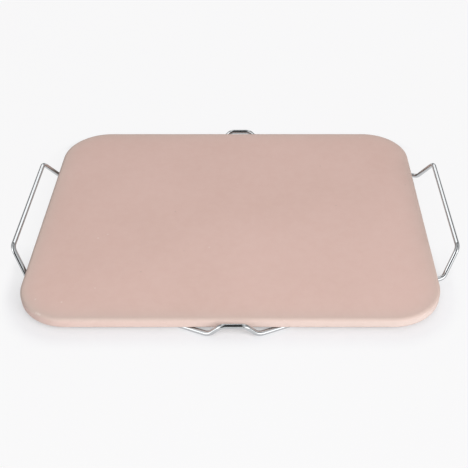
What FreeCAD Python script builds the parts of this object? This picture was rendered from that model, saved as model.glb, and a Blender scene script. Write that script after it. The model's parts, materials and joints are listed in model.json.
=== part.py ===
import FreeCAD, Part
import math
import os

# A rectangular baking stone that lies loose on a rack of bent round wire.
# Millimetres, +Z up. The origin is the middle of the rack, on the table.
# +X runs along the stone's length to the right handle, and -Y is the front.

# Stone
stone_length = 380.0
stone_width = 300.0
stone_thickness = 10.0
stone_corner_radius = 47.0  # seen from above
stone_top_edge_radius = 3.0
stone_bottom_edge_radius = 2.0

# Rack wire
wire_diameter = 4.6
bar_bend_inner_radius = 5.4  # inside of the bends at the ends of handle bars and stop bars
foot_bend_inner_radius = 8.0  # inside of the bends where the stops leave the rails
root_bend_inner_radius = 4.0  # inside of the bends where the handles leave the rails

# Fits between stone and rack
seat_gap = 0.3  # from the rails up to the stone's underside
side_play = 3.8  # how far the stone can be pushed sideways from the rack's middle
leg_clearance = 0.6  # left between the stone and a handle's legs after that push
stop_clearance = 3.45  # between the stone's long edges and the stop bars

# Handles, measured between the corner points of the wire's axis
handle_bar_length = 137.0
handle_root_spacing = 164.1
handle_lean = 12.3  # how far the bar stands out beyond the roots
handle_rise = 12.95  # from the stone's top face up to the bar's axis

# Stops, measured between the corner points of the wire's axis
stop_bar_length = 21.2
stop_foot_spacing = 43.0
stop_lean = 1.05  # how far the bar stands out beyond the feet
stop_rise = 0.4  # from the stone's top face up to the top of the stop wire

# Butt welds in the middle of the rails
weld_length = 2.4
weld_swell = 0.4  # how far the weld stands proud at the sides of the wire
weld_dressing = 0.1  # how far it is ground below the wire's top and bottom

# Levels above the table
wire_radius = wire_diameter / 2
rail_level = wire_radius
stone_bottom = wire_diameter + seat_gap
stone_top = stone_bottom + stone_thickness
handle_bar_level = stone_top + handle_rise
stop_bar_level = stone_top + stop_rise - wire_radius

# Bend radii at the wire's axis
bar_bend_radius = bar_bend_inner_radius + wire_radius
root_bend_radius = root_bend_inner_radius + wire_radius
foot_bend_radius = foot_bend_inner_radius + wire_radius

# The legs lean out as they rise, so they clear the stone least where its side wall begins.
lean_per_rise = handle_lean / (handle_bar_level - rail_level)
leg_half_breadth = wire_radius * math.hypot(1, lean_per_rise)
leg_shift_at_wall = lean_per_rise * (stone_bottom + stone_bottom_edge_radius - rail_level)
pushed_side = stone_length / 2 + side_play
root_x = pushed_side + leg_clearance + leg_half_breadth - leg_shift_at_wall
bar_x = root_x + handle_lean
stop_y = stone_width / 2 + stop_clearance + wire_radius
foot_y = stop_y - stop_lean

# The stone lies pushed over to the left handle.
stone_centre_x = -side_play

level_tolerance = 0.001


def rounded_slab():
    """The fired slab: round corners seen from above, and softened top and bottom edges."""
    low_corner = FreeCAD.Vector(stone_centre_x - stone_length / 2, -stone_width / 2, stone_bottom)
    slab = Part.makeBox(stone_length, stone_width, stone_thickness, low_corner)
    slab = slab.makeFillet(stone_corner_radius, upright_edges(slab))
    slab = slab.makeFillet(stone_top_edge_radius, edges_at(slab, stone_top))
    return slab.makeFillet(stone_bottom_edge_radius, edges_at(slab, stone_bottom))


def upright_edges(solid):
    """The four edges of a box that run along Z."""
    return [edge for edge in solid.Edges if edge.BoundBox.ZLength > stone_thickness / 2]


def edges_at(solid, level):
    """The edges that lie flat at one level."""
    return [
        edge
        for edge in solid.Edges
        if abs(edge.CenterOfMass.z - level) < level_tolerance
    ]


def rounded_corner(before, corner, after, radius):
    """Start, middle and end of the arc that rounds one corner of a path."""
    back = (before - corner).normalize()
    ahead = (after - corner).normalize()
    half_angle = back.getAngle(ahead) / 2
    inward = (back + ahead).normalize()
    tangent_length = radius / math.tan(half_angle)
    middle = corner + inward * (radius / math.sin(half_angle) - radius)
    return corner + back * tangent_length, middle, corner + ahead * tangent_length


def bent_wire(corners, radii):
    """Round wire along straight runs joined by tangent arcs, cut square at both ends."""
    runs = []
    run_start = corners[0]
    for before, corner, after, radius in zip(corners, corners[1:], corners[2:], radii):
        arc_start, arc_middle, arc_end = rounded_corner(before, corner, after, radius)
        runs.append(Part.LineSegment(run_start, arc_start).toShape())
        runs.append(Part.Arc(arc_start, arc_middle, arc_end).toShape())
        run_start = arc_end
    runs.append(Part.LineSegment(run_start, corners[-1]).toShape())
    section = Part.Wire(Part.makeCircle(wire_radius, corners[0], corners[1] - corners[0]))
    return Part.Wire(runs).makePipeShell([section], True, False)


def root_point(side, end):
    """Corner of the wire's axis where a handle's leg leaves a rail."""
    return FreeCAD.Vector(side * root_x, end * handle_root_spacing / 2, rail_level)


def bar_point(side, end):
    """Corner of the wire's axis at one end of a handle's bar."""
    return FreeCAD.Vector(side * bar_x, end * handle_bar_length / 2, handle_bar_level)


def foot_point(side, end):
    """Corner of the wire's axis where a stop rises from a rail."""
    return FreeCAD.Vector(side * stop_foot_spacing / 2, end * foot_y, rail_level)


def stop_point(side, end):
    """Corner of the wire's axis at one end of a stop's bar."""
    return FreeCAD.Vector(side * stop_bar_length / 2, end * stop_y, stop_bar_level)


def rail_direction(side, end):
    """Unit vector along a rail, from the stop's foot out to the handle's root."""
    return (root_point(side, end) - foot_point(side, end)).normalize()


def rail_middle(side, end):
    """Middle of a rail, where its weld sits."""
    return (foot_point(side, end) + root_point(side, end)) * 0.5


def handle_wire(side):
    """One handle with its half of the two rails beside it; side is -1 on the left, 1 on the right."""
    half_weld = weld_length / 2
    corners = [
        rail_middle(side, -1) + rail_direction(side, -1) * half_weld,
        root_point(side, -1),
        bar_point(side, -1),
        bar_point(side, 1),
        root_point(side, 1),
        rail_middle(side, 1) + rail_direction(side, 1) * half_weld,
    ]
    radii = [root_bend_radius, bar_bend_radius, bar_bend_radius, root_bend_radius]
    return bent_wire(corners, radii)


def stop_wire(end):
    """One stop with its half of the two rails beside it; end is -1 at the front, 1 at the rear."""
    half_weld = weld_length / 2
    corners = [
        rail_middle(-1, end) - rail_direction(-1, end) * half_weld,
        foot_point(-1, end),
        stop_point(-1, end),
        stop_point(1, end),
        foot_point(1, end),
        rail_middle(1, end) - rail_direction(1, end) * half_weld,
    ]
    radii = [foot_bend_radius, bar_bend_radius, bar_bend_radius, foot_bend_radius]
    return bent_wire(corners, radii)


def butt_weld(side, end):
    """Barrel of weld metal between two wire ends, ground flat above and below."""
    half_length = weld_length / 2
    swollen_radius = wire_radius + weld_swell
    near_axis = FreeCAD.Vector(-half_length, 0, 0)
    near_rim = FreeCAD.Vector(-half_length, wire_radius, 0)
    crown = FreeCAD.Vector(0, swollen_radius, 0)
    far_rim = FreeCAD.Vector(half_length, wire_radius, 0)
    far_axis = FreeCAD.Vector(half_length, 0, 0)
    outline = Part.Wire(
        [
            Part.LineSegment(near_axis, near_rim).toShape(),
            Part.Arc(near_rim, crown, far_rim).toShape(),
            Part.LineSegment(far_rim, far_axis).toShape(),
            Part.LineSegment(far_axis, near_axis).toShape(),
        ]
    )
    along_x = FreeCAD.Vector(1, 0, 0)
    barrel = Part.Face(outline).revolve(FreeCAD.Vector(0, 0, 0), along_x, 360)
    turn = FreeCAD.Rotation(along_x, rail_direction(side, end))
    barrel.Placement = FreeCAD.Placement(rail_middle(side, end), turn)
    reach = weld_length + swollen_radius
    kept_height = wire_diameter - 2 * weld_dressing
    low_corner = rail_middle(side, end) - FreeCAD.Vector(reach, reach, kept_height / 2)
    return barrel.common(Part.makeBox(2 * reach, 2 * reach, kept_height, low_corner)).Solids[0]


side_names = {-1: "left", 1: "right"}
end_names = {-1: "front", 1: "rear"}

nodes = {"stone_slab": rounded_slab()}
for side, side_name in side_names.items():
    nodes[side_name + "_handle_wire"] = handle_wire(side)
for end, end_name in end_names.items():
    nodes[end_name + "_stop_wire"] = stop_wire(end)
    for side, side_name in side_names.items():
        nodes[end_name + "_" + side_name + "_weld"] = butt_weld(side, end)

os.makedirs("parts", exist_ok=True)
for name, solid in nodes.items():
    solid.exportStep("parts/" + name + ".step")
    print(name, solid.isValid(), len(solid.Solids), round(solid.Volume, 3))
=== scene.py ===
import json
import math
import random

import bmesh
import bpy
import numpy as np
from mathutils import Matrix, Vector, noise


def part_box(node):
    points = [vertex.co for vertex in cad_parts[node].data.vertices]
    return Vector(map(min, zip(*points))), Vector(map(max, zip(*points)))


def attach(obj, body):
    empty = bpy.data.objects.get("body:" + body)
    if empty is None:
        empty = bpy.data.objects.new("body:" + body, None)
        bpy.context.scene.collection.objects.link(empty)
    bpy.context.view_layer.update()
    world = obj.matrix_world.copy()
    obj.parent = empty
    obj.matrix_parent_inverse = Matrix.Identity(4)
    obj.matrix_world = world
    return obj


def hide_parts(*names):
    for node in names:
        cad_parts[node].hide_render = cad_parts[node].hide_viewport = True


# A fired-clay baking stone on a chromed wire rack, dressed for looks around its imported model.
# Metres, +Z up. The table is at z = 0, and the front of the object faces -Y.

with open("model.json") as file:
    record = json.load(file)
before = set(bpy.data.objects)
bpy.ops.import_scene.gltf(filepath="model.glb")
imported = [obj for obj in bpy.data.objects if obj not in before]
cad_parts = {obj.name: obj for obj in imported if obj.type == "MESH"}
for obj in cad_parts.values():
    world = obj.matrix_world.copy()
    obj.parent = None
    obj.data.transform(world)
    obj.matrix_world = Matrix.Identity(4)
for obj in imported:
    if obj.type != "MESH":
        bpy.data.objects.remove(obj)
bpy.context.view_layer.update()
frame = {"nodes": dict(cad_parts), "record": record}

quarter_turn = math.pi / 2

# Camera, from the picture's own perspective
image_side_px = 468
focal_length_px = 802.3
optical_centre_px = 260.18  # from the picture's left side
sensor_width_mm = 36.0
camera_place = (0.02315, -0.63724, 0.51042)
camera_pitch = math.radians(39.36)  # below level

# Soft boxes that aim at the object: azimuth from the front to the right and elevation in degrees,
# distance, side and power, and whether the chrome mirrors them
soft_boxes = {
    "key_light": (48, 30, 4.0, 2.2, 93.0, False),
    "front_light": (-4, 42, 0.9, 0.6, 3.0, False),
    "front_card": (-1, 13, 1.2, 0.34, 0.38, True),
    "rear_left_light": (-164, 35.0, 1.2, 0.5, 1.15, True),
    "rear_right_light": (164, 35.0, 1.2, 0.5, 1.15, True),
}

# The studio round the object
ambient_low = (0.209, 0.214, 0.223)  # light from level directions
ambient_high = (0.492, 0.501, 0.516)  # light from straight above
backdrop_white = (0.952, 0.949, 0.953)

# Dark flags and bright panels that the chrome mirrors in front of the pale backdrop: azimuths
# from the front to the right, elevations and softness in degrees, and level
mirrored_patches = [
    ((58, 140), (-40, 66), 12, 0.55),
    ((-140, -84), (-40, 66), 12, 0.55),
    ((-360, 360), (66, 120), 16, 0.15),
    ((-40, 20), (-40, 120), 10, 0.02),
    ((122, 400), (-40, 50), 10, 0.3),
    ((-400, -122), (-40, 50), 10, 0.3),
    ((150, 400), (40, 120), 10, 0.1),
    ((-400, -150), (40, 120), 10, 0.1),
    ((-80, -38), (-40, 40), 8, 2.5),
    ((20, 64), (-40, 30), 8, 2.9),
]

# Floor. Each glow is the share of its look that shadows don't reach.
floor_side = 8.0
floor_paleness = (0.83, 0.825, 0.84)
front_glow = 0.33  # by the slab's front edge
side_glow = 0.91  # by its sides
rear_glow = 0.5  # by its rear edge
far_glow = 0.94  # away from it
under_glow = 0.1  # below it
front_depth = (-0.158, -0.03)  # along Y, from the front edge's share to that of the sides
rear_depth = (0.138, 0.15)  # along Y, from the share of the sides to the rear edge's
far_reach = (-0.004, 0.025)  # outwards from the slab's outline, until the far share is reached
under_reach = (-0.012, 0.004)  # outwards from the slab's outline, until the share below it ends

# Slab
corner_radius = 0.047
top_edge_radius = 0.003
bottom_edge_radius = 0.002
edge_step = 0.001  # length of the mesh's sides at the slab's edge
top_edge_rows = 7
bottom_edge_rows = 5
faces_per_coarse_face = 4  # along the outline, between the edge and the flat middle
flat_margin = 0.004  # finely meshed strip of the flat faces beside the edge
coarse_step = 0.004
merge_distance = 1e-7

# Wear of the slab, with painted light on its front wall and painted shade along its outermost
# strip
face_wobble = 0.00006
edge_wobble = 0.00012
upright_normal = 0.99  # least height of a normal on the flat faces
slow_waves = 28  # per metre
quick_waves = 190
slow_share = 0.6
quick_share = 0.4
wear_seed = 11
chip_count = 8
chip_radii = (0.0004, 0.001)
chip_sides = (1, 1, -1)  # two in three are on the top edge
chip_tilts = (25, 65)  # degrees from level
chip_depth_share = 0.16  # of the chip's radius
chip_raggedness = 0.35
chip_chalk = 0.5
corner_chips = [(236.5, 0.0009), (239, 0.0011), (241.5, 0.001)]  # at the front left, by direction
corner_chip_tilt = math.radians(62)
wall_painted_light = (0.2, 0.62)  # painted light on the front wall: how much paler it is at the left and at the right
wall_light_spread = 1.5  # how far round the corners that reaches
rim_painted_shade = (0.95, 0.75)  # painted shade: how far the outermost strip is darkened at the left and at the right
rim_width = 0.007  # how far inwards that fades; the front wall has none of it

# Clay: colours, strengths, and waves or cells per metre
noise_middle = (0.3, 0.7)  # where most of a noise's values lie
clay_red = (0.645, 0.445, 0.388)
clay_sand = (0.677, 0.471, 0.415)
drift_waves = 9.0
mottle_colour = (0.76, 0.60, 0.54)
mottle_waves = 110.0
mottle_range = (0.35, 0.65)
mottle_strength = 0.12
grain_colour = (0.50, 0.33, 0.28)
grain_waves = 1500.0
grain_strength = 0.10
spot_cells = 80.0
spot_radii = (0.05, 0.09)  # of a spot's full middle and its soft end, as shares of a cell
spot_strength = 0.35
pale_spot_colour = (0.80, 0.70, 0.66)
pale_spot_limit = 0.93  # the cell's chance lies above it
dark_spot_colour = (0.45, 0.33, 0.28)
dark_spot_limit = 0.08  # the cell's chance lies below it
speck_places = [(-0.1761, -0.1242), (-0.1338, -0.0392), (-0.1522, -0.1278)]  # on the top face
speck_radii = (0.0005, 0.0012)  # of a speck's full middle and its soft end
speck_strength = 0.45
# painted shade along the slab's outermost strip
rim_shade_colour = (0.54, 0.44, 0.385)
# paler clay of the chips, and painted light on the front wall
worn_and_lit_colour = (0.77, 0.68, 0.62)
clay_gloss = 0.25
clay_roughness = (0.96, 0.82)
pore_waves = 700.0
pore_range = (0.25, 0.45)
grain_relief = 0.6  # beside the pores' full depth
clay_bump = (0.35, 0.0002)  # strength and depth, here and below

# Wire and weld metal: darker and paler colour, smoother and rougher finish, waves per metre
chrome_colours = ((0.535, 0.55, 0.56), (0.565, 0.58, 0.59))
chrome_roughness = (0.05, 0.11)
chrome_cloud_waves = 60.0
chrome_ripple_waves = 420.0
chrome_bump = (0.06, 0.0001)
weld_colours = ((0.60, 0.60, 0.61), (0.74, 0.74, 0.745))
weld_roughness = (0.22, 0.42)
weld_cloud_waves = 300.0
weld_mark_waves = 1800.0
weld_bump = (0.3, 0.0001)


def add_node(tree, kind, inputs=None, **settings):
    """Adds one node; each input is a plain value or another node's output."""
    node = tree.nodes.new(kind)
    for name, value in settings.items():
        setattr(node, name, value)
    for name, value in (inputs or {}).items():
        if isinstance(value, bpy.types.NodeSocket):
            tree.links.new(value, node.inputs[name])
        else:
            node.inputs[name].default_value = value
    return node


def noise_value(tree, place, scale, detail=2.0, roughness=0.5):
    """Smooth noise between 0 and 1 with the given number of waves per metre."""
    inputs = {"Vector": place, "Scale": scale, "Detail": detail, "Roughness": roughness}
    return add_node(tree, "ShaderNodeTexNoise", inputs).outputs["Fac"]


def map_range(tree, value, source, target=(0.0, 1.0), smooth=False):
    """Carries a value from one range to another and holds it at the ends."""
    inputs = {
        "Value": value,
        "From Min": source[0],
        "From Max": source[1],
        "To Min": target[0],
        "To Max": target[1],
    }
    interpolation = "SMOOTHSTEP" if smooth else "LINEAR"
    node = add_node(tree, "ShaderNodeMapRange", inputs, interpolation_type=interpolation)
    return node.outputs["Result"]


def calculate(tree, operation, *values):
    """One arithmetic step on plain values or other nodes' outputs."""
    node = add_node(tree, "ShaderNodeMath", dict(enumerate(values)), operation=operation)
    return node.outputs["Value"]


def mix_colours(tree, factor, first, second):
    """Mixes two colours, each a tuple or another node's output."""
    node = add_node(tree, "ShaderNodeMix", data_type="RGBA")
    ends = {"Factor_Float": factor, "A_Color": first, "B_Color": second}
    for socket in node.inputs:
        if socket.identifier not in ends:
            continue
        value = ends[socket.identifier]
        if isinstance(value, bpy.types.NodeSocket):
            tree.links.new(value, socket)
        elif isinstance(value, tuple):
            socket.default_value = (*value, 1.0)
        else:
            socket.default_value = value
    return next(socket for socket in node.outputs if socket.identifier == "Result_Color")


def bump_normal(tree, height, strength, depth):
    """The surface's normal, tilted by a height between 0 and 1 that stands for the depth."""
    inputs = {"Strength": strength, "Distance": depth, "Height": height}
    return add_node(tree, "ShaderNodeBump", inputs).outputs["Normal"]


def mesh_value(tree, name):
    """A value that the mesh carries at its points."""
    return add_node(tree, "ShaderNodeAttribute", attribute_name=name).outputs["Fac"]


def object_place(tree):
    """A point's place in the object's own frame, in metres."""
    return add_node(tree, "ShaderNodeTexCoord").outputs["Object"]


def new_material(name, **constants):
    """A material with one Principled shader and the inputs that are the same all over."""
    material = bpy.data.materials.new(name)
    material.use_nodes = True
    shader = material.node_tree.nodes["Principled BSDF"]
    for socket, value in constants.items():
        shader.inputs[socket.replace("_", " ")].default_value = value
    return material, material.node_tree, shader


def connect(tree, shader, **sources):
    """Links node outputs to the shader's inputs."""
    for socket, source in sources.items():
        tree.links.new(source, shader.inputs[socket.replace("_", " ")])


def clay_spots(tree, place, top):
    """How far a point lies in a pale and in a dark spot; the specks are pale spots too."""
    inputs = {"Vector": place, "Scale": spot_cells}
    cells = add_node(tree, "ShaderNodeTexVoronoi", inputs).outputs
    spot = map_range(tree, cells["Distance"], spot_radii, (spot_strength, 0.0))
    chance = add_node(tree, "ShaderNodeSeparateColor", {"Color": cells["Color"]}).outputs["Red"]
    is_pale = calculate(tree, "GREATER_THAN", chance, pale_spot_limit)
    is_dark = calculate(tree, "LESS_THAN", chance, dark_spot_limit)
    pale = calculate(tree, "MULTIPLY", spot, is_pale)
    dark = calculate(tree, "MULTIPLY", spot, is_dark)
    for across, depth in speck_places:
        ends = {0: place, 1: (across, depth, top)}
        span = add_node(tree, "ShaderNodeVectorMath", ends, operation="DISTANCE")
        distance = span.outputs["Value"]
        speck = map_range(tree, distance, speck_radii, (speck_strength, 0.0), smooth=True)
        pale = calculate(tree, "MAXIMUM", pale, speck)
    return pale, dark


def fired_clay(top):
    """Matte unglazed clay: warm drifts, fine grain, scattered specks, chalky chips, painted light
    on the front wall and painted shade along the rim.
    """
    material, tree, shader = new_material("fired_clay", Specular_IOR_Level=clay_gloss)
    place = object_place(tree)
    drift = map_range(tree, noise_value(tree, place, drift_waves), noise_middle)
    colour = mix_colours(tree, drift, clay_red, clay_sand)
    mottle_noise = noise_value(tree, place, mottle_waves, detail=4.0, roughness=0.6)
    mottle = map_range(tree, mottle_noise, mottle_range, (0.0, mottle_strength))
    colour = mix_colours(tree, mottle, colour, mottle_colour)
    grain_noise = noise_value(tree, place, grain_waves, detail=3.0, roughness=0.65)
    grain = map_range(tree, grain_noise, noise_middle, (0.0, grain_strength))
    colour = mix_colours(tree, grain, colour, grain_colour)
    pale_spot, dark_spot = clay_spots(tree, place, top)
    colour = mix_colours(tree, pale_spot, colour, pale_spot_colour)
    colour = mix_colours(tree, dark_spot, colour, dark_spot_colour)
    # painted shade along the outermost strip
    colour = mix_colours(tree, mesh_value(tree, "rim_shade"), colour, rim_shade_colour)
    # paler chips, and painted light on the front wall
    colour = mix_colours(tree, mesh_value(tree, "worn_and_lit"), colour, worn_and_lit_colour)
    roughness = map_range(tree, grain_noise, noise_middle, clay_roughness)
    pores = map_range(tree, noise_value(tree, place, pore_waves), pore_range)
    height = calculate(tree, "MULTIPLY_ADD", grain_noise, grain_relief, pores)
    normal = bump_normal(tree, height, *clay_bump)
    connect(tree, shader, Base_Color=colour, Roughness=roughness, Normal=normal)
    return material


def bright_chrome():
    """Plated round wire: a clear mirror with faint clouding and fine drawing marks."""
    material, tree, shader = new_material("chromed_wire", Metallic=1.0)
    place = object_place(tree)
    cloud = noise_value(tree, place, chrome_cloud_waves, detail=3.0, roughness=0.6)
    colour = mix_colours(tree, cloud, *chrome_colours)
    roughness = map_range(tree, cloud, noise_middle, chrome_roughness)
    ripple = noise_value(tree, place, chrome_ripple_waves)
    normal = bump_normal(tree, ripple, *chrome_bump)
    connect(tree, shader, Base_Color=colour, Roughness=roughness, Normal=normal)
    return material


def dull_chrome():
    """Ground weld metal under the plating: cloudy, with coarse grinding marks."""
    material, tree, shader = new_material("plated_weld", Metallic=1.0)
    place = object_place(tree)
    cloud = noise_value(tree, place, weld_cloud_waves, detail=4.0, roughness=0.6)
    colour = mix_colours(tree, cloud, *weld_colours)
    roughness = map_range(tree, cloud, noise_middle, weld_roughness)
    marks = noise_value(tree, place, weld_mark_waves, detail=3.0)
    normal = bump_normal(tree, marks, *weld_bump)
    connect(tree, shader, Base_Color=colour, Roughness=roughness, Normal=normal)
    return material


def even_count(length, step):
    """How many faces cover a length, as a number that the coarser faces divide."""
    return faces_per_coarse_face * max(1, round(length / step / faces_per_coarse_face))


class SlabOutline:
    """The slab's outline seen from above: a rectangle widened all round by the corner radius."""

    def __init__(self, low, high):
        self.core_low = low.to_2d() + Vector((corner_radius, corner_radius))
        self.core_high = high.to_2d() - Vector((corner_radius, corner_radius))
        core = self.core_high - self.core_low
        self.counts = [even_count(core.x, edge_step), even_count(core.y, edge_step)]
        self.corner_count = even_count(corner_radius * quarter_turn, edge_step)
        self.stations = list(self.walk())

    def walk(self):
        """Points on the rectangle with their outward direction, once round from the front left."""
        left, front = self.core_low
        right, rear = self.core_high
        corners = [Vector(p) for p in ((left, front), (right, front), (right, rear), (left, rear))]
        for number, start in enumerate(corners):
            end = corners[(number + 1) % len(corners)]
            facing = (number - 1) * quarter_turn
            count = self.counts[number % 2]
            for step in range(count):
                yield start.lerp(end, step / count), facing
            for step in range(self.corner_count):
                yield end, facing + step / self.corner_count * quarter_turn

    def ring(self, inset, height, stride):
        """One closed row of points that lies inside the outline by the inset."""
        reach = corner_radius - inset
        return [
            (base.x + reach * math.cos(angle), base.y + reach * math.sin(angle), height)
            for base, angle in self.stations[::stride]
        ]

    def insets(self, place):
        """How far points lie inside the outline, seen from above."""
        nearest = np.clip(place[:, :2], self.core_low, self.core_high)
        return corner_radius - np.linalg.norm(place[:, :2] - nearest, axis=1)

    def core_grid(self, height, stride):
        """Rows of points that fill the rectangle."""
        columns = self.counts[0] // stride
        rows = self.counts[1] // stride
        span = self.core_high - self.core_low
        return [
            [
                (
                    self.core_low.x + span.x * column / columns,
                    self.core_low.y + span.y * row / rows,
                    height,
                )
                for column in range(columns + 1)
            ]
            for row in range(rows + 1)
        ]


def edge_profile(bottom, top):
    """Inset and height of the fine rows, from the top face round the edge to the underside."""
    profile = []
    margin_rows = round(flat_margin / edge_step)
    for step in range(margin_rows, 0, -1):
        profile.append((top_edge_radius + step * flat_margin / margin_rows, top))
    for step in range(top_edge_rows + 1):
        turn = step / top_edge_rows * quarter_turn
        inset = top_edge_radius * (1 - math.sin(turn))
        profile.append((inset, top - top_edge_radius * (1 - math.cos(turn))))
    wall_top = top - top_edge_radius
    wall_bottom = bottom + bottom_edge_radius
    wall_rows = round((wall_top - wall_bottom) / edge_step)
    for step in range(1, wall_rows):
        profile.append((0.0, wall_top + (wall_bottom - wall_top) * step / wall_rows))
    for step in range(bottom_edge_rows + 1):
        turn = step / bottom_edge_rows * quarter_turn
        inset = bottom_edge_radius * (1 - math.cos(turn))
        profile.append((inset, bottom + bottom_edge_radius * (1 - math.sin(turn))))
    for step in range(1, margin_rows + 1):
        profile.append((bottom_edge_radius + step * flat_margin / margin_rows, bottom))
    return profile


def join_rows(mesh, outer, inner):
    """Faces between two closed rows; the inner one may have half as many points."""
    count = len(inner)
    if len(outer) == count:
        for step in range(count):
            after = (step + 1) % count
            mesh.faces.new((outer[step], outer[after], inner[after], inner[step]))
        return
    for step in range(count):
        after = (step + 1) % count
        near, middle, far = outer[2 * step], outer[2 * step + 1], outer[2 * after]
        mesh.faces.new((near, middle, inner[step]))
        mesh.faces.new((middle, inner[after], inner[step]))
        mesh.faces.new((middle, far, inner[after]))


def add_flat_face(mesh, outline, edge_row, edge_inset, height):
    """Closes one flat face, in coarser steps from the edge to the middle."""
    outer = edge_row
    inset = edge_inset
    stride = 1
    while stride < faces_per_coarse_face:
        stride *= 2
        inset += edge_step * stride
        inner = [mesh.verts.new(p) for p in outline.ring(inset, height, stride)]
        join_rows(mesh, outer, inner)
        outer = inner
    rows = round((corner_radius - inset) / coarse_step)
    for step in range(1, rows + 1):
        row_inset = inset + (corner_radius - inset) * step / rows
        inner = [mesh.verts.new(p) for p in outline.ring(row_inset, height, stride)]
        join_rows(mesh, outer, inner)
        outer = inner
    grid = [[mesh.verts.new(p) for p in row] for row in outline.core_grid(height, stride)]
    for near_row, far_row in zip(grid, grid[1:]):
        for step in range(len(near_row) - 1):
            mesh.faces.new(
                (near_row[step], near_row[step + 1], far_row[step + 1], far_row[step])
            )


def slab_mesh(low, high):
    """The slab as a closed mesh, fine along its edge and coarser over its flat faces."""
    outline = SlabOutline(low, high)
    profile = edge_profile(low.z, high.z)
    mesh = bmesh.new()
    rows = [
        [mesh.verts.new(p) for p in outline.ring(inset, height, 1)] for inset, height in profile
    ]
    for upper, lower in zip(rows, rows[1:]):
        join_rows(mesh, upper, lower)
    add_flat_face(mesh, outline, rows[0], profile[0][0], high.z)
    add_flat_face(mesh, outline, rows[-1], profile[-1][0], low.z)
    bmesh.ops.remove_doubles(mesh, verts=mesh.verts, dist=merge_distance)
    bmesh.ops.recalc_face_normals(mesh, faces=mesh.faces)
    return outline, mesh


def edge_point(base, angle, tilt, low, high):
    """A point on the rounded top edge, or on the bottom edge where the tilt is negative."""
    edge_radius = top_edge_radius if tilt > 0 else bottom_edge_radius
    round_centre = high.z - edge_radius if tilt > 0 else low.z + edge_radius
    reach = corner_radius - edge_radius + edge_radius * math.cos(tilt)
    across = Vector((math.cos(angle), math.sin(angle))) * reach
    height = round_centre + edge_radius * math.sin(tilt)
    return Vector((base.x + across.x, base.y + across.y, height))


def chip_places(outline, low, high):
    """Centres and radii of small chips along the slab's top and bottom edges."""
    for degrees, radius in corner_chips:
        angle = math.radians(degrees)
        yield edge_point(outline.core_low, angle, corner_chip_tilt, low, high), radius
    draw = random.Random(wear_seed)
    for _ in range(chip_count):
        base, angle = draw.choice(outline.stations)
        side = draw.choice(chip_sides)
        tilt = side * math.radians(draw.uniform(*chip_tilts))
        yield edge_point(base, angle, tilt, low, high), draw.uniform(*chip_radii)


def point_values(mesh, name):
    """A vector of each of the mesh's points, as rows of numbers."""
    values = np.empty(len(mesh.vertices) * 3)
    mesh.vertices.foreach_get(name, values)
    return values.reshape(-1, 3)


def wear_slab(mesh, outline, low, high):
    """Makes the slab slightly uneven, always inwards, chips its edges and marks their tone, and
    marks painted light on the front wall and painted shade along the rim.
    """
    place = point_values(mesh, "co")
    normal = point_values(mesh, "normal")
    slow = np.array([noise.noise(Vector(p) * slow_waves) for p in place])
    quick = np.array([noise.noise(Vector(p) * quick_waves) for p in place])
    on_face = np.abs(normal[:, 2]) > upright_normal
    wobble = np.where(on_face, face_wobble, edge_wobble)
    sink = wobble * (1 + slow_share * slow + quick_share * quick)
    # painted light: the front wall is made paler, more towards the right, where light falls on it
    lit_share = np.interp(place[:, 0], (low.x, high.x), wall_painted_light)
    to_front = np.clip(-wall_light_spread * normal[:, 1], 0, 1)
    on_front = to_front * (1 - np.abs(normal[:, 2]))
    worn_and_lit = lit_share * on_front
    for centre, radius in chip_places(outline, low, high):
        distance = np.linalg.norm(place - np.array(centre), axis=1)
        ragged = distance * (1 + chip_raggedness * quick)
        inside = np.clip(1 - (ragged / radius) ** 2, 0, 1)
        dent = edge_wobble + chip_depth_share * radius * np.sqrt(inside)
        sink = np.where(inside > 0, np.maximum(sink, dent), sink)
        worn_and_lit = np.maximum(worn_and_lit, chip_chalk * np.clip(2 * inside, 0, 1))
    mesh.vertices.foreach_set("co", (place - normal * sink[:, None]).ravel())
    # painted shade along the outermost strip except the front wall, strongest at the left
    rim_shade_share = np.interp(place[:, 0], (low.x, high.x), rim_painted_shade)
    rim_shade = rim_shade_share * (1 - on_front) * np.exp(-outline.insets(place) / rim_width)
    mesh.attributes.new("rim_shade", "FLOAT", "POINT").data.foreach_set("value", rim_shade)
    mesh.attributes.new("worn_and_lit", "FLOAT", "POINT").data.foreach_set("value", worn_and_lit)
    mesh.update()


def baking_stone():
    """The loose slab, in the place of its plain solid."""
    low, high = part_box("stone_slab")
    outline, shape = slab_mesh(low, high)
    mesh = bpy.data.meshes.new("baking_stone")
    shape.to_mesh(mesh)
    shape.free()
    mesh.shade_smooth()
    wear_slab(mesh, outline, low, high)
    piece = bpy.data.objects.new("baking_stone", mesh)
    bpy.context.scene.collection.objects.link(piece)
    mesh.materials.append(fired_clay(high.z))
    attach(piece, "stone")
    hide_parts("stone_slab")


def dress_rack():
    """Gives the rack's wires and welds their finish."""
    finishes = {"chromed_wire": bright_chrome(), "plated_weld": dull_chrome()}
    for subpart in frame["record"]["subparts"]:
        finish = finishes.get(subpart["material_slot"])
        if finish is None:
            continue
        for slot in frame["nodes"][subpart["node"]].material_slots:
            slot.material = finish


def seen_directly(tree):
    """1 for what the camera sees straight, in a mirror or through glass, 0 for other light."""
    path = add_node(tree, "ShaderNodeLightPath").outputs
    mirrored = calculate(tree, "MAXIMUM", path["Is Glossy Ray"], path["Is Transmission Ray"])
    return calculate(tree, "MAXIMUM", path["Is Camera Ray"], mirrored)


def beyond(tree, value, low, high):
    """How far a coordinate lies outside a range."""
    short = calculate(tree, "SUBTRACT", low, value)
    past = calculate(tree, "SUBTRACT", value, high)
    return calculate(tree, "MAXIMUM", calculate(tree, "MAXIMUM", short, past), 0.0)


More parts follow.
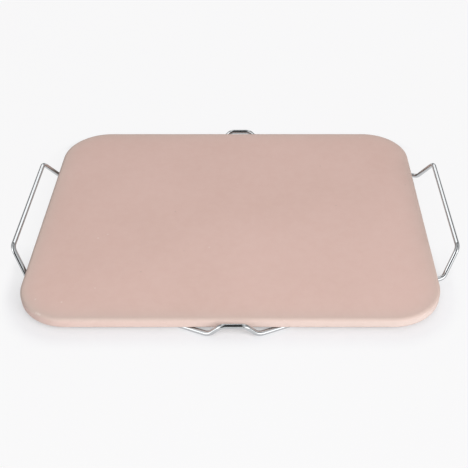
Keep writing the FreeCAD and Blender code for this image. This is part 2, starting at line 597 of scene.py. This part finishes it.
def distance_outwards(tree, place, low, high):
    """How far a point of the floor lies outside the slab's outline, seen from above."""
    across = beyond(tree, place["X"], low.x + corner_radius, high.x - corner_radius)
    deep = beyond(tree, place["Y"], low.y + corner_radius, high.y - corner_radius)
    deep_square = calculate(tree, "MULTIPLY", deep, deep)
    square = calculate(tree, "MULTIPLY_ADD", across, across, deep_square)
    return calculate(tree, "SUBTRACT", calculate(tree, "SQRT", square), corner_radius)


def floor_glow(tree):
    """The share of the floor's look that shadows don't reach, which is least by the slab."""
    low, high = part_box("stone_slab")
    place = add_node(tree, "ShaderNodeSeparateXYZ", {"Vector": object_place(tree)}).outputs
    front = map_range(tree, place["Y"], front_depth, (front_glow, side_glow))
    rear = map_range(tree, place["Y"], rear_depth, (side_glow, rear_glow))
    beside = calculate(tree, "MINIMUM", front, rear)
    outwards = distance_outwards(tree, place, low, high)
    away = map_range(tree, outwards, far_reach, (0.0, far_glow), smooth=True)
    under = map_range(tree, outwards, under_reach, (under_glow, 1.0), smooth=True)
    return calculate(tree, "MINIMUM", calculate(tree, "MAXIMUM", beside, away), under)


def pale_floor():
    """A wide white table top that keeps the object's soft shadow."""
    mesh = bpy.data.meshes.new("floor")
    half = floor_side / 2
    corners = [(-half, -half, 0), (half, -half, 0), (half, half, 0), (-half, half, 0)]
    mesh.from_pydata(corners, [], [(0, 1, 2, 3)])
    floor = bpy.data.objects.new("floor", mesh)
    bpy.context.scene.collection.objects.link(floor)
    material = bpy.data.materials.new("floor")
    material.use_nodes = True
    tree = material.node_tree
    tree.nodes.clear()
    matte = add_node(tree, "ShaderNodeBsdfDiffuse", {"Color": (*floor_paleness, 1)})
    glow = add_node(tree, "ShaderNodeEmission", {"Color": (*backdrop_white, 1), "Strength": 1.0})
    share = calculate(tree, "MULTIPLY", seen_directly(tree), floor_glow(tree))
    looks = {0: share, 1: matte.outputs[0], 2: glow.outputs[0]}
    mixed = add_node(tree, "ShaderNodeMixShader", looks)
    add_node(tree, "ShaderNodeOutputMaterial", {"Surface": mixed.outputs[0]})
    mesh.materials.append(material)


def band(tree, value, low, high, softness):
    """1 between two limits and 0 outside them, in degrees, with soft ends."""
    limits = [math.radians(angle) for angle in (low, low + softness, high - softness, high)]
    rising = map_range(tree, value, limits[:2], smooth=True)
    falling = map_range(tree, value, limits[2:], (1.0, 0.0), smooth=True)
    return calculate(tree, "MULTIPLY", rising, falling)


def studio_world():
    """Even soft light and a pale backdrop, in which the chrome also mirrors flags and panels."""
    world = bpy.data.worlds.new("studio")
    bpy.context.scene.world = world
    world.use_nodes = True
    tree = world.node_tree
    tree.nodes.clear()
    direction = add_node(tree, "ShaderNodeTexCoord").outputs["Generated"]
    parts = add_node(tree, "ShaderNodeSeparateXYZ", {"Vector": direction}).outputs
    to_front = calculate(tree, "MULTIPLY", parts["Y"], -1.0)
    azimuth = calculate(tree, "ARCTAN2", parts["X"], to_front)
    elevation = calculate(tree, "ARCSINE", parts["Z"])
    room = backdrop_white
    for (left, right), (lowest, highest), softness, patch_level in mirrored_patches:
        across = band(tree, azimuth, left, right, softness)
        upright = band(tree, elevation, lowest, highest, softness)
        cover = calculate(tree, "MULTIPLY", across, upright)
        room = mix_colours(tree, cover, room, (patch_level,) * 3)
    height = map_range(tree, parts["Z"], (0.0, 1.0))
    ambient = mix_colours(tree, height, ambient_low, ambient_high)
    path = add_node(tree, "ShaderNodeLightPath").outputs
    seen = mix_colours(tree, path["Is Glossy Ray"], backdrop_white, room)
    look = mix_colours(tree, seen_directly(tree), ambient, seen)
    background = add_node(tree, "ShaderNodeBackground", {"Color": look, "Strength": 1.0})
    add_node(tree, "ShaderNodeOutputWorld", {"Surface": background.outputs[0]})


def soft_box(name, azimuth, elevation, distance, side, power, mirrored):
    """A square area lamp that aims at the middle of the object."""
    lamp = bpy.data.lights.new(name, "AREA")
    lamp.size = side
    lamp.energy = power
    turn = math.radians(azimuth)
    rise = math.radians(elevation)
    direction = Vector(
        (math.sin(turn) * math.cos(rise), -math.cos(turn) * math.cos(rise), math.sin(rise))
    )
    box = bpy.data.objects.new(name, lamp)
    box.visible_camera = False
    box.visible_glossy = mirrored
    box.location = direction * distance
    box.rotation_euler = direction.to_track_quat("Z", "Y").to_euler()
    bpy.context.scene.collection.objects.link(box)


def place_camera():
    """A camera with the picture's height, tilt and lens."""
    lens = bpy.data.cameras.new("camera")
    lens.sensor_width = sensor_width_mm
    lens.lens = focal_length_px / image_side_px * sensor_width_mm
    lens.shift_x = 0.5 - optical_centre_px / image_side_px
    camera = bpy.data.objects.new("camera", lens)
    camera.location = camera_place
    camera.rotation_euler = (quarter_turn - camera_pitch, 0, 0)
    bpy.context.scene.collection.objects.link(camera)
    bpy.context.scene.camera = camera


baking_stone()
dress_rack()
pale_floor()
studio_world()
for name, setting in soft_boxes.items():
    soft_box(name, *setting)
place_camera()
bpy.context.scene.view_settings.view_transform = "Standard"
